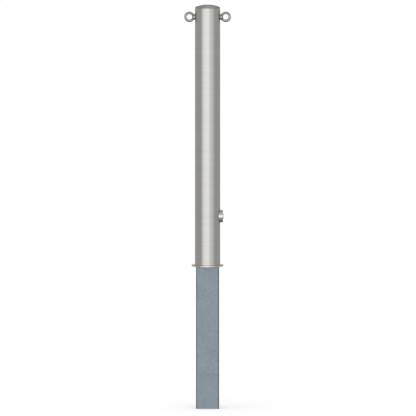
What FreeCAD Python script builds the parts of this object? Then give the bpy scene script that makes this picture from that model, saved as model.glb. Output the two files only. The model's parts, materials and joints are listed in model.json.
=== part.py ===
import FreeCAD, Part
import math
import os
import Sketcher

# Removable stainless steel post that locks in a square ground socket.
# Millimetres, +Z up. The origin is on the post's axis at pavement level, where the foot
# flange rests on the socket's rim. The lock faces +X and the two eyes stand on +X and -X.

# Driving dimensions, one named cell each
SIZES = {
    # Round post
    "post_diameter": 76.1,
    "post_wall": 2.6,
    "post_height": 780.2,
    "cap_rise": 10.3,
    "cap_knuckle": 4.0,
    "cap_wall": 2.6,
    "flange_diameter": 96.0,
    "flange_thickness": 4.0,
    "flange_chamfer": 0.6,
    # Square spigot under the flange
    "spigot_side": 60.0,
    "spigot_wall": 3.0,
    "spigot_corner": 5.0,
    "spigot_length": 318.0,
    # Ground socket
    "socket_clearance": 2.0,
    "socket_wall": 3.0,
    "socket_corner": 6.0,
    "socket_length": 430.0,
    "floor_gap": 4.0,
    "floor_thickness": 4.0,
    "drain_diameter": 30.0,
    # Ring eyes and the rivet nuts that hold them
    "eye_below_rim": 26.7,
    "eye_standoff": 16.7,
    "eye_opening": 16.8,
    "eye_wire": 7.4,
    "collar_diameter": 18.5,
    "collar_length": 5.8,
    "collar_round": 1.5,
    "thread_diameter": 8.0,
    "thread_length": 16.0,
    "thread_clearance": 0.05,
    "nut_diameter": 11.0,
    "nut_flange_diameter": 15.0,
    "nut_flange_thickness": 1.2,
    "nut_length": 17.0,
    "nut_bulge_diameter": 14.0,
    "nut_bulge_length": 3.2,
    # Lock sleeve, bush and triangle spindle
    "lock_height": 151.0,
    "sleeve_diameter": 37.0,
    "sleeve_projection": 8.15,
    "recess_diameter": 28.0,
    "recess_depth": 16.0,
    "edge_chamfer": 0.8,
    "bush_diameter": 16.0,
    "bush_flange_diameter": 22.0,
    "bush_flange_thickness": 1.5,
    "journal_diameter": 12.0,
    "journal_clearance": 0.04,
    "spindle_collar_diameter": 20.0,
    "spindle_collar_thickness": 3.0,
    "key_side": 16.4,
    "key_corner": 2.0,
    "key_projection": 3.0,
    "end_play": 0.3,
    # Crank on the spindle's inner end
    "crank_arm": 15.0,
    "crank_swing": 45.0,
    "crank_thickness": 5.0,
    "crank_half_width": 9.5,
    "tenon_side": 8.0,
    "tenon_clearance": 0.05,
    "crank_pin_diameter": 8.0,
    "pin_slot_clearance": 0.6,
    "washer_diameter": 14.0,
    "washer_thickness": 1.0,
    "screw_diameter": 6.0,
    "screw_length": 15.0,
    "screw_head_diameter": 10.0,
    "screw_head_height": 2.0,
    "hex_key": 4.0,
    "hex_key_depth": 1.2,
    # Push rod and its guides
    "rod_thickness": 5.0,
    "rod_width": 24.0,
    "rod_gap": 0.5,
    "rod_guide_clearance": 0.6,
    "yoke_margin": 6.0,
    "yoke_reach": 7.0,
    "rod_round": 3.0,
    "guide_disc_height": 80.0,
    "guide_disc_thickness": 4.0,
    "weld_gap": 0.1,
    # Lock bolt
    "bolt_depth": 60.0,
    "bolt_diameter": 16.0,
    "bolt_running_clearance": 0.05,
    "bolt_throw": 5.0,
    "bolt_reveal": 0.5,
    "bolt_chamfer": 1.0,
    "bolt_hole_clearance": 1.0,
    "fork_clearance": 0.4,
    "fork_tail": 2.0,
    "cross_pin_diameter": 6.0,
    "cross_pin_length": 14.0,
    "cam_slot_clearance": 0.25,
    "block_width": 32.0,
    "block_height": 28.0,
    "block_tail": 8.0,
}

# Sizes worked out from the driving ones, as expressions on the sheet
POST_R = "sizes.post_diameter / 2"
POST_BORE_R = f"({POST_R} - sizes.post_wall)"
SOCKET_BORE = "(sizes.spigot_side + 2 * sizes.socket_clearance)"
SOCKET_SIDE = f"({SOCKET_BORE} + 2 * sizes.socket_wall)"
FLOOR_TOP = "(-sizes.spigot_length - sizes.floor_gap)"
EYE_X = f"({POST_R} + sizes.eye_standoff)"
EYE_Z = "(sizes.post_height - sizes.eye_below_rim)"
SLEEVE_FACE = f"({POST_R} + sizes.sleeve_projection)"
RECESS_FLOOR = f"({SLEEVE_FACE} - sizes.recess_depth)"
SCREW_HEAD_FACE = "(sizes.rod_thickness / 2 + sizes.rod_gap)"
WASHER_FACE = f"({SCREW_HEAD_FACE} + sizes.screw_head_height)"
CRANK_FACE = f"({WASHER_FACE} + sizes.washer_thickness)"
CRANK_BACK = f"({CRANK_FACE} + sizes.crank_thickness)"
BUSH_FACE = f"({CRANK_BACK} + sizes.end_play)"
SLEEVE_END = f"({BUSH_FACE} + sizes.bush_flange_thickness)"
ROD_TRAVEL = "(2 * sizes.crank_arm * sin(sizes.crank_swing))"
PIN_Z = "(sizes.lock_height + sizes.crank_arm * sin(sizes.crank_swing))"
PIN_Y = "(sizes.crank_arm * cos(sizes.crank_swing))"
YOKE_HALF = "(sizes.crank_pin_diameter / 2 + sizes.pin_slot_clearance)"
ROD_SLOT_X = "(sizes.rod_thickness / 2 + sizes.rod_guide_clearance)"
ROD_SLOT_Y = "(sizes.rod_width / 2 + sizes.rod_guide_clearance)"
CAM_HALF = "(sizes.cross_pin_diameter / 2 + sizes.cam_slot_clearance)"
BOLT_NOSE = "(sizes.spigot_side / 2 - sizes.bolt_reveal)"
BOLT_TAIL = "(-sizes.rod_width / 2 - sizes.fork_tail)"

doc = FreeCAD.newDocument("post")
sheet = doc.addObject("Spreadsheet::Sheet", "sizes")
for row, (alias, value) in enumerate(SIZES.items(), start=1):
    sheet.set(f"A{row}", alias)
    sheet.set(f"B{row}", str(value))
    sheet.setAlias(f"B{row}", alias)
doc.recompute()

X_AXIS = FreeCAD.Vector(1, 0, 0)
Z_AXIS = FreeCAD.Vector(0, 0, 1)
PIECES = []


def size(expression):
    """The value of an expression on the sheet's cells."""
    return float(sheet.evalExpression(str(expression)))


def new_body(label, base=("0", "0", "0"), axis=Z_AXIS, angle="0"):
    """A body with its own label, placed by expressions."""
    body = doc.addObject("PartDesign::Body", label)
    body.Label = label
    body.Placement = FreeCAD.Placement(FreeCAD.Vector(), FreeCAD.Rotation(axis, size(angle)))
    for letter, expression in zip("xyz", base):
        body.setExpression(f"Placement.Base.{letter}", expression)
    if axis != Z_AXIS or size(angle) != 0:
        body.setExpression("Placement.Rotation.Angle", angle)
    PIECES.append(body)
    return body


def new_sketch(body, role, offset="0"):
    """A sketch on one of the body's own planes, moved along the plane's normal."""
    plane = next(item for item in body.Origin.OriginFeatures if item.Role == role)
    sketch = body.newObject("Sketcher::SketchObject", f"{body.Name}_sketch")
    sketch.AttachmentSupport = [(plane, "")]
    sketch.MapMode = "FlatFace"
    sketch.setExpression("AttachmentOffset.Base.z", offset)
    return sketch


def bind(sketch, constraint, expression):
    """Add a dimension to a sketch and tie it to the sheet."""
    index = sketch.addConstraint(constraint)
    sketch.setExpression(f"Constraints[{index}]", expression)


def pin_point(sketch, geometry, point, place):
    """Hold one point of a sketch at a place given by two expressions."""
    across, up = place
    bind(sketch, Sketcher.Constraint("DistanceX", -1, 1, geometry, point, size(across)), across)
    bind(sketch, Sketcher.Constraint("DistanceY", -1, 1, geometry, point, size(up)), up)


def draw_circle(sketch, radius, centre=("0", "0")):
    """A circle with its radius and centre on the sheet."""
    middle = FreeCAD.Vector(size(centre[0]), size(centre[1]), 0)
    index = sketch.addGeometry(Part.Circle(middle, Z_AXIS, size(radius)))
    bind(sketch, Sketcher.Constraint("Radius", index, size(radius)), radius)
    pin_point(sketch, index, 3, centre)


def draw_polygon(sketch, corners):
    """A closed outline of straight lines through corners given by expressions."""
    points = [FreeCAD.Vector(size(across), size(up), 0) for across, up in corners]
    first = sketch.GeometryCount
    count = len(points)
    for index, point in enumerate(points):
        sketch.addGeometry(Part.LineSegment(point, points[(index + 1) % count]))
    for index in range(count):
        after = first + (index + 1) % count
        sketch.addConstraint(Sketcher.Constraint("Coincident", first + index, 2, after, 1))
    for index, corner in enumerate(corners):
        pin_point(sketch, first + index, 1, corner)


def draw_rectangle(sketch, left, right, bottom, top):
    """A rectangle between four expressions."""
    draw_polygon(sketch, [(left, bottom), (right, bottom), (right, top), (left, top)])


def draw_square(sketch, side):
    """A square centred on the sketch's origin."""
    half = f"({side}) / 2"
    draw_rectangle(sketch, f"-{half}", half, f"-{half}", half)


def draw_slot(sketch, start, end, radius):
    """A round-ended slot between two centres, its arcs tangent to its sides."""
    first = FreeCAD.Vector(size(start[0]), size(start[1]), 0)
    last = FreeCAD.Vector(size(end[0]), size(end[1]), 0)
    turn = math.atan2(last.y - first.y, last.x - first.x)
    reach = size(radius)
    side = FreeCAD.Vector(-math.sin(turn), math.cos(turn), 0) * reach
    begin_circle = Part.Circle(first, Z_AXIS, reach)
    end_circle = Part.Circle(last, Z_AXIS, reach)
    back = sketch.addGeometry(
        Part.ArcOfCircle(begin_circle, turn + math.pi / 2, turn + 3 * math.pi / 2))
    lower = sketch.addGeometry(Part.LineSegment(first - side, last - side))
    front = sketch.addGeometry(
        Part.ArcOfCircle(end_circle, turn - math.pi / 2, turn + math.pi / 2))
    upper = sketch.addGeometry(Part.LineSegment(last + side, first + side))
    for one, one_end, other, other_end in (
            (back, 2, lower, 1), (lower, 2, front, 1), (front, 2, upper, 1), (upper, 2, back, 1)):
        sketch.addConstraint(Sketcher.Constraint("Tangent", one, one_end, other, other_end))
    sketch.addConstraint(Sketcher.Constraint("Equal", back, front))
    bind(sketch, Sketcher.Constraint("Radius", back, reach), radius)
    pin_point(sketch, back, 3, start)
    pin_point(sketch, front, 3, end)


def add_pad(body, sketch, length, symmetric=False):
    """Pad a sketch along its normal, or evenly to both sides."""
    pad = body.newObject("PartDesign::Pad", f"{body.Name}_pad")
    pad.Profile = sketch
    pad.SideType = "Symmetric" if symmetric else "One side"
    pad.setExpression("Length", length)
    doc.recompute()
    return pad


def add_pocket(body, sketch, length, along_normal=False, symmetric=False):
    """Cut a sketch out of the body and check that it takes material away."""
    before = body.Shape.Volume
    pocket = body.newObject("PartDesign::Pocket", f"{body.Name}_pocket")
    pocket.Profile = sketch
    pocket.SideType = "Symmetric" if symmetric else "One side"
    pocket.Reversed = along_normal
    pocket.setExpression("Length", length)
    doc.recompute()
    if not body.Shape.Volume < before:
        raise RuntimeError(f"a cut in {body.Label} takes nothing away")
    return pocket


def add_revolution(body, sketch, axis):
    """Turn a sketch a full circle about one of its own axes."""
    turned = body.newObject("PartDesign::Revolution", f"{body.Name}_turned")
    turned.Profile = sketch
    turned.ReferenceAxis = (sketch, [axis])
    turned.Angle = 360
    doc.recompute()
    return turned


def edges_where(shape, test):
    """Names of the shape's edges that pass a test."""
    return [f"Edge{index}" for index, edge in enumerate(shape.Edges, start=1) if test(edge)]


def straight_along(direction):
    """A test for straight edges along a direction."""
    def test(edge):
        return isinstance(edge.Curve, Part.Line) and abs(edge.Curve.Direction.dot(direction)) > 0.999
    return test


def upright_within(reach):
    """A test for upright edges inside a square of half width reach."""
    upright = straight_along(Z_AXIS)

    def test(edge):
        middle = edge.CenterOfMass
        return upright(edge) and max(abs(middle.x), abs(middle.y)) < reach
    return test


def circle_of(radius):
    """A test for round edges of one radius."""
    def test(edge):
        return isinstance(edge.Curve, Part.Circle) and abs(edge.Curve.Radius - radius) < 0.001
    return test


def dress_edges(body, kind, amount, test):
    """Fillet or chamfer the edges of the body's latest feature that pass a test."""
    base = body.Tip
    names = edges_where(base.Shape, test)
    if not names:
        raise RuntimeError(f"no edge to dress on {body.Label}")
    feature = body.newObject(f"PartDesign::{kind}", f"{body.Name}_{kind.lower()}")
    feature.Base = (base, names)
    feature.setExpression("Radius" if kind == "Fillet" else "Size", amount)
    base.Visibility = False
    doc.recompute()
    return feature


def turned_body(label, profile, **placing):
    """A turned piece: a profile of (along, radius) points spun about its own X axis."""
    body = new_body(label, **placing)
    sketch = new_sketch(body, "XY_Plane")
    draw_polygon(sketch, profile)
    add_revolution(body, sketch, "H_Axis")
    return body


def ring_profile(start, end, bore_radius, outer_radius):
    """The half section of a plain ring or bush."""
    return [(start, bore_radius), (end, bore_radius), (end, outer_radius), (start, outer_radius)]


# Round post

def make_post_tube():
    """Round tube with a hole for the lock sleeve and one for each rivet nut."""
    body = new_body("post_tube")
    section = new_sketch(body, "XY_Plane", "sizes.flange_thickness")
    draw_circle(section, POST_R)
    draw_circle(section, POST_BORE_R)
    add_pad(body, section, "sizes.post_height - sizes.flange_thickness")
    sleeve_hole = new_sketch(body, "YZ_Plane")
    draw_circle(sleeve_hole, "sizes.sleeve_diameter / 2", ("0", "sizes.lock_height"))
    add_pocket(body, sleeve_hole, "sizes.post_diameter", along_normal=True)
    nut_holes = new_sketch(body, "YZ_Plane")
    draw_circle(nut_holes, "sizes.nut_diameter / 2", ("0", EYE_Z))
    add_pocket(body, nut_holes, "2 * sizes.post_diameter", symmetric=True)


def make_dome_cap():
    """Pressed cap: a shallow crown that rolls over a tight knuckle onto the tube's rim."""
    body = new_body("dome_cap", base=("0", "0", "sizes.post_height"))
    radius = size(POST_R)
    knuckle = size("sizes.cap_knuckle")
    wall = size("sizes.cap_wall")
    rise = size("sizes.cap_rise")
    arm = radius - knuckle
    crown = (arm ** 2 + rise ** 2 - knuckle ** 2) / (2 * (rise - knuckle))
    lean = math.asin(arm / (crown - knuckle))
    crown_centre = FreeCAD.Vector(0, rise - crown, 0)
    knuckle_centre = FreeCAD.Vector(arm, 0, 0)
    sketch = new_sketch(body, "XZ_Plane")
    arcs = [(knuckle_centre, knuckle, 0, math.pi / 2 - lean),
            (crown_centre, crown, math.pi / 2 - lean, math.pi / 2),
            (crown_centre, crown - wall, math.pi / 2 - lean, math.pi / 2),
            (knuckle_centre, knuckle - wall, 0, math.pi / 2 - lean)]
    for centre, reach, start, end in arcs:
        sketch.addGeometry(Part.ArcOfCircle(Part.Circle(centre, Z_AXIS, reach), start, end))
    apex = FreeCAD.Vector(0, rise, 0)
    under_apex = FreeCAD.Vector(0, rise - wall, 0)
    sketch.addGeometry(Part.LineSegment(apex, under_apex))
    sketch.addGeometry(Part.LineSegment(
        FreeCAD.Vector(radius - wall, 0, 0), FreeCAD.Vector(radius, 0, 0)))
    for joint in (("Tangent", 0, 2, 1, 1), ("Coincident", 1, 2, 4, 1), ("Coincident", 4, 2, 2, 2),
                  ("Tangent", 2, 1, 3, 2), ("Coincident", 3, 1, 5, 1), ("Coincident", 5, 2, 0, 1),
                  ("Coincident", 1, 3, 2, 3), ("Coincident", 0, 3, 3, 3)):
        sketch.addConstraint(Sketcher.Constraint(*joint))
    pin_point(sketch, 5, 2, (POST_R, "0"))
    pin_point(sketch, 0, 3, (f"{POST_R} - sizes.cap_knuckle", "0"))
    pin_point(sketch, 4, 1, ("0", "sizes.cap_rise"))
    pin_point(sketch, 4, 2, ("0", "sizes.cap_rise - sizes.cap_wall"))
    sketch.addConstraint(Sketcher.Constraint("PointOnObject", 1, 3, -2))
    add_revolution(body, sketch, "V_Axis")


def make_foot_flange():
    """Round plate that rests on the socket's rim, slotted for the push rod."""
    body = new_body("foot_flange")
    disc = new_sketch(body, "XY_Plane")
    draw_circle(disc, "sizes.flange_diameter / 2")
    add_pad(body, disc, "sizes.flange_thickness")
    rim = circle_of(size("sizes.flange_diameter / 2"))
    dress_edges(body, "Chamfer", "sizes.flange_chamfer", rim)
    cut_rod_slot(body)


def cut_rod_slot(body):
    """The slot that guides the push rod through a plate or block."""
    slot = new_sketch(body, "XY_Plane")
    draw_rectangle(slot, f"-{ROD_SLOT_X}", ROD_SLOT_X, f"-{ROD_SLOT_Y}", ROD_SLOT_Y)
    add_pocket(body, slot, "4 * sizes.bolt_depth", symmetric=True)


# Square tubes

def make_square_tube(label, length, side, wall, corner):
    """Square tube hanging down from pavement level, with rounded corners inside and out."""
    body = new_body(label)
    outside = new_sketch(body, "XY_Plane", f"-{length}")
    draw_square(outside, side)
    add_pad(body, outside, length)
    dress_edges(body, "Fillet", corner, straight_along(Z_AXIS))
    inside = new_sketch(body, "XY_Plane", f"-{length}")
    draw_square(inside, f"{side} - 2 * {wall}")
    add_pocket(body, inside, length, along_normal=True)
    mid_wall = size(f"({side} - {wall}) / 2")
    dress_edges(body, "Fillet", f"{corner} - {wall}", upright_within(mid_wall))
    return body


def drill_bolt_hole(body, radius):
    """A round hole for the lock bolt through the back wall."""
    hole = new_sketch(body, "XZ_Plane")
    draw_circle(hole, radius, ("0", "-sizes.bolt_depth"))
    add_pocket(body, hole, "sizes.spigot_side")


def make_spigot_tube():
    """The post's square foot, which slides down into the socket."""
    body = make_square_tube("spigot_tube", "sizes.spigot_length", "sizes.spigot_side",
                            "sizes.spigot_wall", "sizes.spigot_corner")
    drill_bolt_hole(body, "(sizes.bolt_diameter + sizes.bolt_hole_clearance) / 2")


def make_socket_tube():
    """The galvanised square tube that stays in the ground."""
    body = make_square_tube("socket_tube", "sizes.socket_length", SOCKET_SIDE,
                            "sizes.socket_wall", "sizes.socket_corner")
    drill_bolt_hole(body, "sizes.bolt_diameter / 2 + sizes.bolt_hole_clearance")


def make_socket_floor_plate():
    """Stop plate with a drain hole, welded across the socket under the spigot."""
    body = new_body("socket_floor_plate")
    plate = new_sketch(body, "XY_Plane", f"{FLOOR_TOP} - sizes.floor_thickness")
    draw_square(plate, f"{SOCKET_BORE} - 2 * sizes.weld_gap")
    add_pad(body, plate, "sizes.floor_thickness")
    dress_edges(body, "Fillet", "sizes.socket_corner - sizes.socket_wall", straight_along(Z_AXIS))
    drain = new_sketch(body, "XY_Plane", f"{FLOOR_TOP} - sizes.floor_thickness")
    draw_circle(drain, "sizes.drain_diameter / 2")
    add_pocket(body, drain, "sizes.floor_thickness", along_normal=True)


# Ring eyes

def make_eye_bolt(label, side):
    """Forged ring bolt: a round wire ring, a collar against the rivet nut and a thread."""
    body = new_body(label, base=(f"{side} * {EYE_X}", "0", EYE_Z),
                    angle="0" if side > 0 else "180")
    ring_radius = "(sizes.eye_opening + sizes.eye_wire) / 2"
    seat = "(sizes.nut_flange_thickness - sizes.eye_standoff)"
    wire = new_sketch(body, "XY_Plane")
    draw_circle(wire, "sizes.eye_wire / 2", (ring_radius, "0"))
    add_revolution(body, wire, "V_Axis")
    seat_cut = new_sketch(body, "XZ_Plane")
    draw_rectangle(seat_cut, f"{seat} - sizes.eye_wire", seat, "-sizes.eye_opening", "sizes.eye_opening")
    add_pocket(body, seat_cut, "4 * sizes.eye_wire", symmetric=True)
    stem = new_sketch(body, "XY_Plane")
    draw_polygon(stem, [(f"{seat} - sizes.thread_length", "0"),
                        (f"{seat} + sizes.collar_length", "0"),
                        (f"{seat} + sizes.collar_length", "sizes.collar_diameter / 2 - sizes.collar_round"),
                        (f"{seat} + sizes.collar_length - sizes.collar_round", "sizes.collar_diameter / 2"),
                        (seat, "sizes.collar_diameter / 2"),
                        (seat, "sizes.thread_diameter / 2"),
                        (f"{seat} - sizes.thread_length", "sizes.thread_diameter / 2")])
    add_revolution(body, stem, "H_Axis")


def make_rivet_nut(label, side):
    """Threaded insert, flanged outside and bulged inside the thin tube wall."""
    bore = "(sizes.thread_diameter / 2 + sizes.thread_clearance)"
    nut_end = f"({POST_R} - sizes.nut_length)"
    bulge = "sizes.nut_bulge_diameter / 2"
    bulge_face = f"(sqrt({POST_BORE_R} ^ 2 - ({bulge}) ^ 2) - sizes.weld_gap)"
    profile = [(nut_end, bore), (f"{POST_R} + sizes.nut_flange_thickness", bore),
               (f"{POST_R} + sizes.nut_flange_thickness", "sizes.nut_flange_diameter / 2"),
               (POST_R, "sizes.nut_flange_diameter / 2"),
               (POST_R, "sizes.nut_diameter / 2"),
               (bulge_face, "sizes.nut_diameter / 2"),
               (bulge_face, bulge),
               (f"{bulge_face} - sizes.nut_bulge_length", bulge),
               (f"{bulge_face} - sizes.nut_bulge_length", "sizes.nut_diameter / 2"),
               (nut_end, "sizes.nut_diameter / 2")]
    turned_body(label, profile, base=("0", "0", EYE_Z),
                angle="0" if side > 0 else "180")


# Lock sleeve and spindle

AT_LOCK = ("0", "0", "sizes.lock_height")


def make_lock_sleeve():
    """Turned boss through the tube wall, with a deep recess round the key head."""
    outer = "sizes.sleeve_diameter / 2"
    recess = "sizes.recess_diameter / 2"
    bore = "sizes.bush_diameter / 2"
    turned_body("lock_sleeve", [
        (SLEEVE_END, bore), (RECESS_FLOOR, bore), (RECESS_FLOOR, recess), (SLEEVE_FACE, recess),
        (SLEEVE_FACE, f"{outer} - sizes.edge_chamfer"),
        (f"{SLEEVE_FACE} - sizes.edge_chamfer", outer), (SLEEVE_END, outer)], base=AT_LOCK)


def make_spindle_bush():
    """Flanged bush, pressed into the sleeve from inside the tube."""
    bore = "(sizes.journal_diameter / 2 + sizes.journal_clearance)"
    flange = "sizes.bush_flange_diameter / 2"
    outer = "sizes.bush_diameter / 2"
    turned_body("spindle_bush", [
        (BUSH_FACE, bore), (RECESS_FLOOR, bore), (RECESS_FLOOR, outer), (SLEEVE_END, outer),
        (SLEEVE_END, flange), (BUSH_FACE, flange)], base=AT_LOCK)


def make_triangle_spindle():
    """Spindle with a rounded triangular key head, a collar, a journal and a square tenon."""
    collar_top = f"({RECESS_FLOOR} + sizes.spindle_collar_thickness)"
    thread = "sizes.screw_diameter / 2 + sizes.thread_clearance"
    journal = "sizes.journal_diameter / 2"
    collar = "sizes.spindle_collar_diameter / 2"
    body = turned_body("triangle_spindle", [
        (CRANK_BACK, "0"), (collar_top, "0"), (collar_top, collar), (RECESS_FLOOR, collar),
        (RECESS_FLOOR, journal), (CRANK_BACK, journal)], base=AT_LOCK)
    height = "(sizes.key_side * cos(30))"
    head = new_sketch(body, "YZ_Plane", collar_top)
    draw_polygon(head, [(f"-{height} / 3", "-sizes.key_side / 2"), (f"2 * {height} / 3", "0"),
                        (f"-{height} / 3", "sizes.key_side / 2")])
    add_pad(body, head, f"{SLEEVE_FACE} + sizes.key_projection - {collar_top}")
    dress_edges(body, "Fillet", "sizes.key_corner", straight_along(X_AXIS))
    end_face = size(f"{SLEEVE_FACE} + sizes.key_projection")
    dress_edges(body, "Chamfer", "sizes.edge_chamfer",
                lambda edge: abs(edge.CenterOfMass.x - end_face) < 0.001)
    tenon = new_sketch(body, "YZ_Plane", f"{CRANK_FACE} + sizes.tenon_clearance")
    draw_square(tenon, "sizes.tenon_side")
    add_pad(body, tenon, "sizes.crank_thickness - sizes.tenon_clearance")
    tapping = new_sketch(body, "YZ_Plane", CRANK_FACE)
    draw_circle(tapping, thread)
    add_pocket(body, tapping, "sizes.screw_length", along_normal=True)


def make_crank_plate():
    """Short arm on the spindle's square tenon, turned up to its unlocked position."""
    body = new_body("crank_plate", base=AT_LOCK, axis=X_AXIS, angle="sizes.crank_swing")
    outline = new_sketch(body, "YZ_Plane", CRANK_FACE)
    draw_slot(outline, ("0", "0"), ("sizes.crank_arm", "0"), "sizes.crank_half_width")
    add_pad(body, outline, "sizes.crank_thickness")
    pin_hole = new_sketch(body, "YZ_Plane", CRANK_FACE)
    draw_circle(pin_hole, "sizes.crank_pin_diameter / 2", ("sizes.crank_arm", "0"))
    add_pocket(body, pin_hole, "sizes.crank_thickness", along_normal=True)
    half = "(sizes.tenon_side / 2 + sizes.tenon_clearance) * sqrt(2)"
    tenon_hole = new_sketch(body, "YZ_Plane", CRANK_FACE)
    draw_polygon(tenon_hole, [(half, "0"), ("0", half), (f"-{half}", "0"), ("0", f"-{half}")])
    add_pocket(body, tenon_hole, "sizes.crank_thickness", along_normal=True)


def make_crank_pin():
    """Pin pressed into the crank plate, which reaches through the rod's yoke slot."""
    tip = f"-{SCREW_HEAD_FACE}"
    radius = "sizes.crank_pin_diameter / 2"
    turned_body("crank_pin", [
        (tip, "0"), (CRANK_BACK, "0"), (CRANK_BACK, radius),
        (f"{tip} + sizes.edge_chamfer", radius), (tip, f"{radius} - sizes.edge_chamfer")],
        base=("0", PIN_Y, PIN_Z))


def make_spindle_fixings():
    """Washer and low-head screw that hold the crank plate on its tenon."""
    bore = "sizes.screw_diameter / 2 + 2 * sizes.thread_clearance"
    turned_body("spindle_washer", ring_profile(
        WASHER_FACE, CRANK_FACE, bore, "sizes.washer_diameter / 2"), base=AT_LOCK)
    radius = "sizes.screw_diameter / 2"
    head = "sizes.screw_head_diameter / 2"
    tip = f"{WASHER_FACE} + sizes.screw_length"
    body = turned_body("spindle_screw", [
        (SCREW_HEAD_FACE, "0"), (tip, "0"), (tip, radius), (WASHER_FACE, radius),
        (WASHER_FACE, head), (SCREW_HEAD_FACE, head)], base=AT_LOCK)
    socket = new_sketch(body, "YZ_Plane", SCREW_HEAD_FACE)
    corner = "(sizes.hex_key / sqrt(3))"
    draw_polygon(socket, [(f"{corner} * cos({60 * step})", f"{corner} * sin({60 * step})")
                          for step in range(6)])
    add_pocket(body, socket, "sizes.hex_key_depth", along_normal=True)


# Push rod and lock bolt

def make_push_rod():
    """Flat bar: a yoke slot for the crank pin above, an inclined slot for the bolt below."""
    body = new_body("push_rod")
    half = "sizes.rod_width / 2"
    head_low = f"{PIN_Z} - {YOKE_HALF} - sizes.yoke_margin"
    head_top = f"{PIN_Z} + {YOKE_HALF} + sizes.yoke_margin"
    head_side = f"sizes.crank_arm + {YOKE_HALF} + sizes.yoke_reach"
    foot = f"-sizes.bolt_depth - {CAM_HALF} - sizes.yoke_margin"
    outline = new_sketch(body, "YZ_Plane")
    draw_polygon(outline, [(f"-{half}", foot), (half, foot), (half, head_low),
                           (head_side, head_low), (head_side, head_top), (f"-{half}", head_top)])
    add_pad(body, outline, "sizes.rod_thickness", symmetric=True)
    dress_edges(body, "Fillet", "sizes.rod_round", straight_along(X_AXIS))
    yoke = new_sketch(body, "YZ_Plane")
    draw_slot(yoke, (f"{PIN_Y} - sizes.pin_slot_clearance", PIN_Z),
              ("sizes.crank_arm + sizes.pin_slot_clearance", PIN_Z), YOKE_HALF)
    add_pocket(body, yoke, "2 * sizes.rod_thickness", symmetric=True)
    cam = new_sketch(body, "YZ_Plane")
    draw_slot(cam, ("-sizes.bolt_throw / 2", "-sizes.bolt_depth"),
              ("sizes.bolt_throw / 2", f"{ROD_TRAVEL} - sizes.bolt_depth"), CAM_HALF)
    add_pocket(body, cam, "2 * sizes.rod_thickness", symmetric=True)


def make_rod_guide_disc():
    """Slotted disc inside the tube that keeps the rod upright."""
    body = new_body("rod_guide_disc")
    disc = new_sketch(body, "XY_Plane", "sizes.guide_disc_height")
    draw_circle(disc, f"{POST_BORE_R} - sizes.weld_gap")
    add_pad(body, disc, "sizes.guide_disc_thickness")
    cut_rod_slot(body)


def make_bolt_guide_block():
    """Block welded to the spigot's back wall, bored for the bolt and slotted for the rod."""
    body = new_body("bolt_guide_block")
    block = new_sketch(body, "XY_Plane", "-sizes.bolt_depth - sizes.block_height / 2")
    draw_rectangle(block, "-sizes.block_width / 2", "sizes.block_width / 2",
                   "-sizes.rod_width / 2 - sizes.block_tail", "sizes.spigot_side / 2 - sizes.spigot_wall")
    add_pad(body, block, "sizes.block_height")
    bore = new_sketch(body, "XZ_Plane")
    draw_circle(bore, "sizes.bolt_diameter / 2 + sizes.bolt_running_clearance",
                ("0", "-sizes.bolt_depth"))
    add_pocket(body, bore, "2 * sizes.spigot_side", symmetric=True)
    cut_rod_slot(body)


def make_lock_bolt():
    """Round bolt, forked at its tail over the push rod and drilled for the cross pin."""
    radius = "sizes.bolt_diameter / 2"
    body = turned_body("lock_bolt", [
        (BOLT_TAIL, "0"), (BOLT_NOSE, "0"), (BOLT_NOSE, f"{radius} - sizes.bolt_chamfer"),
        (f"{BOLT_NOSE} - sizes.bolt_chamfer", radius), (BOLT_TAIL, radius)],
        base=("0", "0", "-sizes.bolt_depth"), angle="90")
    fork = new_sketch(body, "XY_Plane")
    draw_rectangle(fork, f"{BOLT_TAIL} - sizes.bolt_diameter",
                   "sizes.rod_width / 2 + sizes.fork_clearance",
                   "-sizes.rod_thickness / 2 - sizes.fork_clearance",
                   "sizes.rod_thickness / 2 + sizes.fork_clearance")
    add_pocket(body, fork, "2 * sizes.bolt_diameter", symmetric=True)
    pin_hole = new_sketch(body, "XZ_Plane")
    draw_circle(pin_hole, "sizes.cross_pin_diameter / 2", ("-sizes.bolt_throw / 2", "0"))
    add_pocket(body, pin_hole, "2 * sizes.bolt_diameter", symmetric=True)


def make_bolt_cross_pin():
    """Cross pin through both cheeks of the bolt's fork and the rod's inclined slot."""
    half = "sizes.cross_pin_length / 2"
    turned_body("bolt_cross_pin", [
        (f"-{half}", "0"), (half, "0"), (half, "sizes.cross_pin_diameter / 2"),
        (f"-{half}", "sizes.cross_pin_diameter / 2")],
        base=("0", "-sizes.bolt_throw / 2", "-sizes.bolt_depth"))


def check_and_export():
    """Stop at any failed feature, then write each piece under its own name."""
    doc.recompute()
    for item in doc.Objects:
        if "Invalid" in item.State or "Error" in item.State:
            raise RuntimeError(f"{item.Label} failed: {item.State}")
    os.makedirs("parts", exist_ok=True)
    for body in PIECES:
        if body.Shape.isNull() or not body.Shape.isValid() or len(body.Shape.Solids) != 1:
            raise RuntimeError(f"{body.Label} has no valid solid")
    for body in PIECES:
        body.Shape.exportStep(f"parts/{body.Label}.step")
        print(f"{body.Label}: {body.Shape.Volume / 1000:.2f} cm3")


make_socket_tube()
make_socket_floor_plate()
make_post_tube()
make_dome_cap()
make_foot_flange()
make_spigot_tube()
make_eye_bolt("eye_bolt_left", -1)
make_eye_bolt("eye_bolt_right", 1)
make_rivet_nut("rivet_nut_left", -1)
make_rivet_nut("rivet_nut_right", 1)
make_lock_sleeve()
make_spindle_bush()
make_triangle_spindle()
make_crank_plate()
make_crank_pin()
make_spindle_fixings()
make_push_rod()
make_rod_guide_disc()
make_bolt_guide_block()
make_lock_bolt()
make_bolt_cross_pin()
check_and_export()
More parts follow.
